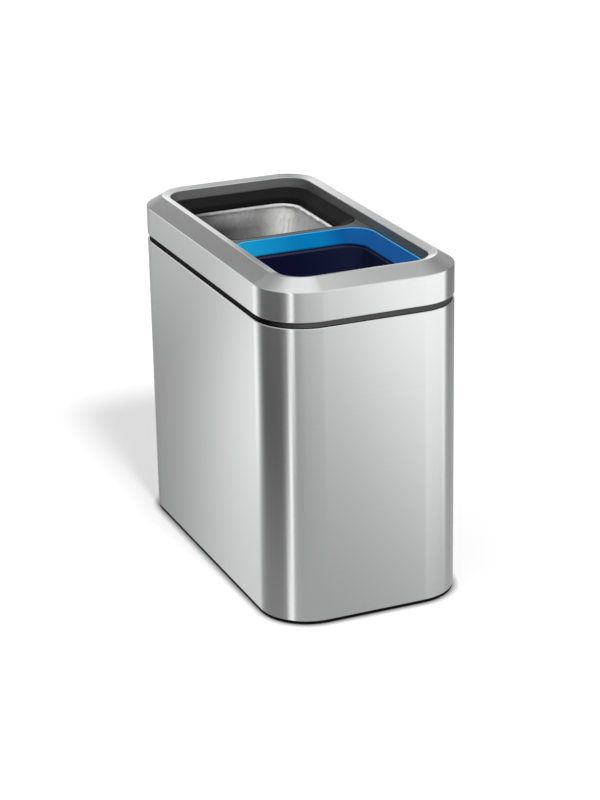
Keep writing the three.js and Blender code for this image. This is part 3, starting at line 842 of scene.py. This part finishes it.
def unroll(piece, section):
    """Writes the UV map "wrap" for a loft round the housing's outline."""
    half_x, half_y, radius, _ = (value * MM for value in housing(0))
    total = 4 * (half_x - radius) + 4 * (half_y - radius) + 2 * math.pi * radius
    points = [Vector(point) * MM for point in section]
    across = [0.0]
    for first, second in zip(points, points[1:]):
        across.append(across[-1] + (second - first).length)
    loop_number = piece.data.attributes["loop_number"].data
    layer = piece.data.uv_layers.new(name="wrap").data
    for face in piece.data.polygons:
        rounds, rows = [], []
        for vertex in face.vertices:
            co = piece.data.vertices[vertex].co
            rounds.append(place_round(co.x, co.y, half_x, half_y, radius))
            rows.append(across[loop_number[vertex].value - 1])
        for place, row, index in zip(rounds, rows, face.loop_indices):
            if max(rounds) - place > total / 2:
                place += total  # this face crosses the line where the map starts again
            layer[index].uv = (place, row)
    print(piece.name, "unrolls to", round(total, 4), "by", round(across[-1], 4), "m")


# %% [markdown]
# ## The sleeve
# The sleeve is one steel sheet, rolled over at its top edge and turned in at its foot. The rolled edge
# is what catches the thin line of light under the dark band.

# %% Sleeve


def roll(edge, side, steps=10):
    """Half round of a rolled edge, from the outer face to the inner one."""
    half = HEM / 2
    turns = [math.pi * step / steps for step in range(steps + 1)]
    return [(half - half * math.cos(turn), edge + side * half * (math.sin(turn) - 1)) for turn in turns]


def build_sleeve():
    flange, straight = 12.0, 20.0
    foot = fillet([
        (flange, sleeve_bottom),
        (0, sleeve_bottom, 1.4),
        (0, sleeve_bottom + straight),  # only gives the fold its direction
    ])[:-1]
    inner = fillet([
        (HEM, sleeve_top - HEM_RETURN),
        (SHEET, sleeve_top - HEM_RETURN),
        (SHEET, sleeve_bottom + SHEET, 0.6),
        (flange, sleeve_bottom + SHEET),
    ])
    section = foot + roll(sleeve_top, 1) + inner
    sleeve = loft("sleeve", housing, section, steps=24)
    unroll(sleeve, section)
    smooth(sleeve)
    dress(sleeve, "housing", "brushed_steel", steel, "outer_shell")


build_sleeve()

# %% [markdown]
# ## The ring
# The ring is pressed from one sheet as well: an upright band, a crease, a sloped bevel up to a crest, a
# narrow rim that falls to the mouth, and a wall turned down inside it. A bevelled block could give the
# outside, but one folded section also gives the sheet's thin edge, its hem and the wall inside. The
# faces of that wall then get the darker, duller copy of the steel, with its painted shade.

# %% Ring


def build_ring():
    crease, crest, mouth_fold = 2.0, 1.3, 1.0
    bevel_slope = BEVEL_RISE / BEVEL_INSET
    outer = fillet([
        (0, ring_bottom + HEM),
        (0, band_top, crease),
        (BEVEL_INSET, ring_top, crest),
        (MOUTH_INSET, rim_edge, mouth_fold),
        (MOUTH_INSET, return_bottom),
        (MOUTH_INSET - SHEET, return_bottom),
        (MOUTH_INSET - SHEET, rim_edge - SHEET),
        (BEVEL_INSET, ring_top - SHEET * 1.4),
        (SHEET, band_top - SHEET * bevel_slope),
        (SHEET, ring_bottom + HEM_RETURN),
        (HEM, ring_bottom + HEM_RETURN),
    ])[1:]
    section = list(reversed(roll(ring_bottom, -1))) + outer
    ring = loft("ring_steel", housing, section, steps=24)
    unroll(ring, section)
    smooth(ring)
    dress(ring, "ring", "brushed_steel", steel, "ring_cover")
    # The wall inside the mouth gets the copy of the steel with painted shade
    ring.data.materials.append(steel_in_painted_shade)
    loop_number = ring.data.attributes["loop_number"].data
    for face in ring.data.polygons:
        points = [section[loop_number[vertex].value - 1] for vertex in face.vertices]
        if all(inset > MOUTH_INSET - 0.1 and height < rim_edge for inset, height in points):
            face.material_index = 1


build_ring()

# %% [markdown]
# ## The moulded frames
# A black frame in the top of the sleeve shows as the dark band under the ring. Inside the ring a grey
# channel carries the bridge between the two mouths. The bridge's ends widen in rounded webs. Drawing
# those is hard, but they are simply what is left of a bar when the two windows are cut out of it, so
# Boolean cutters make them, and a smaller bar made the same way hollows it from below.

# %% Top frame
BAND_RECESS = 2.2
MOULD_WALL = 2.2
TOP_FRAME_REACH = 20.4
TOP_FRAME_SKIRT = 20.0
skirt_inset = HEM + SLIP_GAP


def build_top_band():
    bottom, top = sleeve_top + SEAT_GAP, ring_bottom - SEAT_GAP
    under = top - MOULD_WALL
    skirt_bottom = bottom - TOP_FRAME_SKIRT
    section = fillet([
        (BAND_RECESS, bottom, 0.4),
        (BAND_RECESS, top, 0.4),
        (TOP_FRAME_REACH, top, 0.5),
        (TOP_FRAME_REACH, under, 0.5),
        (skirt_inset + MOULD_WALL, under, 1.2),
        (skirt_inset + MOULD_WALL, skirt_bottom, 0.5),
        (skirt_inset, skirt_bottom, 0.5),
        (skirt_inset, bottom),
    ], steps=3)
    band = loft("top_band", housing, section, steps=24)
    smooth(band)
    dress(band, "housing", "black_moulding", band_plastic, "shell_top_frame")


build_top_band()

# %% Ring frame with its bridge
BRIDGE_WIDTH = 7.4
BRIDGE_DEPTH = 18.0
CHANNEL_HEIGHT = 19.6
LIP_DROP = 7.4  # of the lip that centres the ring in the top frame
CUT_PAST = 5.0  # how far a cutter reaches past what it cuts
WEB_REACH = 0.85  # how far the webs go along the sides, as a share of the windows' corner radius
window_radius = CORNER_RADIUS - MOUTH_INSET
window_half_x = HALF_WIDTH - MOUTH_INSET
window_half_y = (HALF_DEPTH - MOUTH_INSET - BRIDGE_WIDTH / 2) / 2


def window(grow, side):
    """The opening over one compartment, made larger by grow."""

    def outline(_):
        return window_half_x + grow, window_half_y + grow, window_radius + grow, compartment_y * side

    return outline


def cut_with(piece, tool):
    only(piece)
    bpy.ops.object.modifier_add(type="BOOLEAN")
    modifier = piece.modifiers[-1]
    modifier.operation = "DIFFERENCE"
    modifier.solver = "EXACT"
    modifier.object = tool
    bpy.ops.object.modifier_apply(modifier=modifier.name)
    only(tool)
    bpy.ops.object.delete()


def between_windows(name, half_x, half_y, bottom, top, grow):
    """A bar across the mouth with both windows cut out of it."""
    only()
    bpy.ops.mesh.primitive_cube_add(size=2, location=(0, 0, (top + bottom) / 2 * MM))
    bar = bpy.context.object
    bar.name = name
    bpy.ops.object.mode_set(mode="EDIT")
    bpy.ops.transform.resize(value=(half_x * MM, half_y * MM, (top - bottom) / 2 * MM))
    bpy.ops.object.mode_set(mode="OBJECT")
    bpy.ops.object.transform_apply(location=True, rotation=True, scale=True)
    for side in (-1, 1):
        column = [(0, bottom - CUT_PAST), (0, top + CUT_PAST)]
        cutter = loft("cutter", window(grow, side), column, closed=False, steps=16)
        cut_with(bar, cutter)
    return bar


def build_ring_frame():
    bridge_bottom = frame_top - BRIDGE_DEPTH
    bar_half_y = BRIDGE_WIDTH / 2 + window_radius * WEB_REACH
    bar = between_windows(
        "bridge", window_half_x + MOULD_WALL / 2, bar_half_y, bridge_bottom, frame_top, 0,
    )
    hollow = between_windows(
        "bridge_hollow", window_half_x - MOULD_WALL / 2, bar_half_y - MOULD_WALL,
        bridge_bottom - CUT_PAST, frame_top - MOULD_WALL, MOULD_WALL,
    )
    cut_with(bar, hollow)
    lip_inset = TOP_FRAME_REACH + SLIP_GAP
    wall_inset = MOUTH_INSET - MOULD_WALL
    section = fillet([
        (skirt_inset, ring_bottom, 0.4),
        (skirt_inset, ring_bottom + CHANNEL_HEIGHT, 0.5),
        (skirt_inset + MOULD_WALL, ring_bottom + CHANNEL_HEIGHT, 0.5),
        (skirt_inset + MOULD_WALL, ring_bottom + MOULD_WALL, 0.8),
        (wall_inset, ring_bottom + MOULD_WALL, 0.8),
        (wall_inset, frame_top, 0.4),
        (MOUTH_INSET, frame_top, 0.4),
        (MOUTH_INSET, ring_bottom, 0.4),
        (lip_inset + MOULD_WALL, ring_bottom, 0.4),
        (lip_inset + MOULD_WALL, ring_bottom - LIP_DROP, 0.4),
        (lip_inset, ring_bottom - LIP_DROP, 0.4),
        (lip_inset, ring_bottom),
    ], steps=2)
    channel = loft("ring_channel", housing, section, steps=24)
    only(channel, bar)
    bpy.ops.object.join()
    smooth(channel)
    dress(channel, "ring", "grey_moulding", grey_plastic, "ring_frame")


build_ring_frame()

# %% [markdown]
# ## The collars
# Each collar is a shallow funnel with a short upright lip at its foot. It is moulded in one piece with
# the skirt that hangs outside the bucket, so it is one closed section with a wall of even thickness.

# %% Collars
COLLAR_RIM = 1.4
LIP_DEPTH = 1.9
SHOULDER_WIDTH = 2.0
SKIRT_DEPTH = 24.0
FLANGE_DROP = 1.4  # from the lip down to the bucket's flange


def collar_section():
    lip_bottom = funnel_foot - LIP_DEPTH
    slope = (FUNNEL_DEPTH - COLLAR_WALL / 2) / (FUNNEL_INSET - COLLAR_RIM)
    wall_drop = COLLAR_WALL * math.hypot(1, slope)
    shoulder = COLLAR_WALL + SHOULDER_WIDTH
    lip_back = FUNNEL_INSET - COLLAR_WALL * 0.7

    def underside(inset):
        return frame_top - wall_drop - (inset - COLLAR_RIM) * slope

    seat = lip_bottom - FLANGE_DROP + SEAT_GAP
    skirt_bottom = frame_top - SKIRT_DEPTH
    return fillet([
        (0, skirt_bottom, 0.3),
        (0, frame_top, 0.8),
        (COLLAR_RIM, frame_top, 0.9),
        (FUNNEL_INSET, funnel_foot, 0.8),
        (FUNNEL_INSET, lip_bottom, 0.4),
        (lip_back, lip_bottom, 0.4),
        (lip_back, underside(lip_back)),
        (shoulder, underside(shoulder)),
        (shoulder, seat),
        (COLLAR_WALL, seat),
        (COLLAR_WALL, skirt_bottom, 0.3),
    ], steps=4)


def build_collar(name, centre_y, body, slot, material):
    collar = loft(name, collar_outline(centre_y), collar_section(), steps=18)
    smooth(collar)
    dress(collar, body, slot, material, body)


build_collar("black_collar", compartment_y, "trash_collar", "black_moulding", collar_plastic)
build_collar("blue_collar", -compartment_y, "recycling_collar", "blue_moulding", blue_plastic)

# %% [markdown]
# ## The buckets
# The two buckets are twins: tapered walls, a wide flange turned down at its edge, and a low ring to
# stand on. The section starts under the middle of the floor and ends above it, and both ends are filled.

# %% Buckets
BUCKET_WALL = 1.8
BUCKET_TAPER = 8.0
FOOT_WIDTH = 5.0
FOOT_RECESS = 2.0
FLANGE_SHEET = 2.0
FLANGE_SKIRT = 9.0
foot_inset = MOUTH_WALL_INSET - BUCKET_WALL + BUCKET_TAPER
bucket_floor = bucket_bottom + FOOT_RECESS + BUCKET_WALL


def bucket_section():
    under_flange = flange_top - FLANGE_SHEET
    return fillet([
        (foot_inset + 2 * FOOT_WIDTH + FOOT_RECESS, bucket_bottom + FOOT_RECESS),
        (foot_inset + 2 * FOOT_WIDTH, bucket_bottom, 0.8),
        (foot_inset, bucket_bottom, 4.0),
        (MOUTH_WALL_INSET - BUCKET_WALL, under_flange, 0.8),
        (FLANGE_INSET + BUCKET_WALL, under_flange, 0.6),
        (FLANGE_INSET + BUCKET_WALL, flange_top - FLANGE_SKIRT, 0.4),
        (FLANGE_INSET, flange_top - FLANGE_SKIRT, 0.4),
        (FLANGE_INSET, flange_top, 1.2),
        (MOUTH_WALL_INSET, flange_top, 2.6),
        (foot_inset + BUCKET_WALL, bucket_floor, 4.0),
        (foot_inset + BUCKET_WALL + 2 * FOOT_WIDTH, bucket_floor),
    ], steps=5)


def build_bucket(name, centre_y, body, slot, material):
    bucket = loft(name, bucket_outline(centre_y), bucket_section(), closed=False, steps=16)
    smooth(bucket)
    dress(bucket, body, slot, material, body)


build_bucket("trash_pail", compartment_y, "trash_bucket", "black_moulding", black_plastic)
# The recycling bucket's dark navy is painted shade on blue plastic
build_bucket("recycling_pail", -compartment_y, "recycling_bucket", "navy_moulding", blue_in_painted_shade)

# %% [markdown]
# ## The bag
# A thin grey film bag hangs in the rear bucket. Its edge is drawn over the flange and held there by the
# collar, so a soft bead of film shows under the collar's lip. A flat film can't follow the tight corners
# of the bucket: there it gathers in upright pleats that fan out downwards. Elsewhere it hangs in slack,
# shallow waves. The bag starts as one sheet with many points, each point is moved inwards by the pleats
# and waves, and Solidify gives the film its thickness.

# %% Film that gathers at the corners
FILM_THICKNESS = 0.15
PLEAT_WIDTH = 7.5
PLEAT_DEPTH = 2.4
GATHER_REACH = 27.0  # how far round from the middle of a corner the pleats reach
FAN_DEPTH = 160.0  # how far down the pleats are twice as wide as at the top
FAN_SLANT = 0.3
WAVE_DEPTH = 2.2
RIPPLE_DEPTH = 0.45
BEAD_CRUMPLE = 1.7
bag_straight_x = collar_half_x - MOUTH_WALL_INSET - BUCKET_RADIUS
bag_straight_y = collar_half_y - MOUTH_WALL_INSET - BUCKET_RADIUS
hang_depth = flange_top - bucket_floor - 4


def fade(value, start, end):
    """Rises softly from 0 at the start to 1 at the end."""
    share = min(max((value - start) / (end - start), 0), 1)
    return share * share * (3 - 2 * share)


def round_corner_place(point, outward, radius):
    """How far round the outline a point lies from the middle of its corner, in millimetres."""
    turn = math.atan2(abs(outward.y), abs(outward.x)) - math.pi / 4
    if abs(outward.x) > 0.999 or abs(outward.y) > 0.999:
        turn = math.copysign(math.pi / 4, turn)
    straight_x = abs(point.x) - abs(outward.x) * radius
    straight_y = abs(point.y) - abs(outward.y) * radius
    beyond = (bag_straight_x - straight_x) + (bag_straight_y - straight_y)
    return radius * turn + math.copysign(beyond, turn)


def slack(point, outward, radius, depth):
    """How far inwards the film hangs from the bucket's wall, in millimetres. The corners gather in pleats
    that start just under the mouth and calm down further below, the sides hang in long waves, small
    ripples show near the mouth, and the bead over the flange is crumpled."""
    place = round_corner_place(point, outward, radius)
    corner = 3.0 * math.copysign(1, point.x) + 7.0 * math.copysign(1, point.y)
    gather = math.exp(-((place / GATHER_REACH) ** 2)) * fade(depth, 3, 22) * (1 - 0.75 * fade(depth, 60, 260))
    fanned = (place - FAN_SLANT * depth) / (1 + depth / FAN_DEPTH)
    wander = noise.noise(Vector((place / 30, depth / 45, corner)))
    pleat = 0.5 + 0.5 * math.sin(2 * math.pi * fanned / PLEAT_WIDTH + 3.5 * wander + corner)
    wave = 0.5 + noise.noise(Vector((point.x / 42, point.y / 42, depth / 75)))
    ripple = noise.noise(Vector((point.x / 11, point.y / 11, depth / 9 + 40)))
    bead = math.exp(-(((depth - 1.5) / 3.5) ** 2)) * noise.noise(Vector((point.x / 5, point.y / 5, 9)))
    return (
        PLEAT_DEPTH * pleat ** 1.5 * gather
        + WAVE_DEPTH * max(wave, 0) * fade(depth, 6, 60) * (1 - fade(depth, 330, 365))
        + RIPPLE_DEPTH * ripple * fade(depth, 4, 12) * (1 - fade(depth, 40, 110))
        + BEAD_CRUMPLE * bead
    )


# %% Section of the bag
BAG_ROWS = 44
ROW_CROWDING = 1.7  # more rows near the mouth, where the film shows


def bag_section():
    rim, foot = MOUTH_WALL_INSET, foot_inset + BUCKET_WALL
    bead = [
        (rim - 11.7, flange_top + 0.7), (rim - 6, flange_top + 0.7), (rim - 2, flange_top + 0.7),
        (rim + 0.9, flange_top + 0.5), (rim + 1.9, flange_top - 0.1), (rim + 2.5, flange_top - 1.1),
        (rim + 2.5, flange_top - 2.2), (rim + 1.9, flange_top - 3.2), (rim + 1.3, flange_top - 4.1),
        (rim + 1.0, flange_top - 5.2),
    ]
    top, bottom = flange_top - 7.0, bucket_floor + 8.0
    wall = []
    for row in range(BAG_ROWS + 1):
        share = (row / BAG_ROWS) ** ROW_CROWDING
        wall.append((rim + 0.8 + share * (foot - rim + 0.4), top + share * (bottom - top)))
    base = [(foot + 2.6, bucket_floor + 3.4), (foot + 6, bucket_floor + 1.4), (foot + 14, bucket_floor + 0.8)]
    return bead + wall + base


# %% Bag


def hang_in_folds(bag, outline, section):
    """Moves each point of the film inwards by its slack."""
    loop_number = bag.data.attributes["loop_number"].data
    for vertex in bag.data.vertices:
        inset, height = section[loop_number[vertex.index].value - 1]
        depth = flange_top - height
        if inset <= MOUTH_WALL_INSET or depth >= hang_depth:
            continue
        half_x, half_y, radius, _ = outline(inset)
        x, y = vertex.co.x / MM, vertex.co.y / MM - compartment_y
        outward = Vector((
            math.copysign(max(abs(x) - (half_x - radius), 0), x),
            math.copysign(max(abs(y) - (half_y - radius), 0), y),
            0,
        )).normalized()
        inwards = slack(Vector((x, y, 0)), outward, radius, depth)
        vertex.co -= outward * inwards * MM


def build_bag():
    section, outline = bag_section(), bucket_outline(compartment_y)
    bag = loft("film_bag", outline, section, closed=False, steps=20, cuts=35)
    only(bag)
    bpy.ops.object.mode_set(mode="EDIT")
    select_loops(bag, [1])
    bpy.ops.mesh.delete(type="ONLY_FACE")
    bpy.ops.object.mode_set(mode="OBJECT")
    hang_in_folds(bag, outline, section)
    bpy.ops.object.modifier_add(type="SOLIDIFY")
    bag.modifiers[-1].thickness = FILM_THICKNESS * MM
    bag.modifiers[-1].offset = 0
    bpy.ops.object.modifier_apply(modifier=bag.modifiers[-1].name)
    smooth(bag, FILM_SHARP_ANGLE)
    dress(bag, "trash_bucket", "bag_film", film, "trash_bag")


build_bag()

# %% [markdown]
# ## Pieces that keep their solid form
# The tray, the pads and the screws are right as they come from the solids, and little of them shows. They
# stay, and each only gets its finish.

# %% Finishes for the kept nodes
KEPT_FINISHES = {"base_tray": tray_plastic, "foot_pad": rubber, "base_screw": zinc}

for node_name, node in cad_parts.items():
    for start, material in KEPT_FINISHES.items():
        if node_name.startswith(start):
            node.data.materials.clear()
            node.data.materials.append(material)
            print(node_name, "in", material.name)
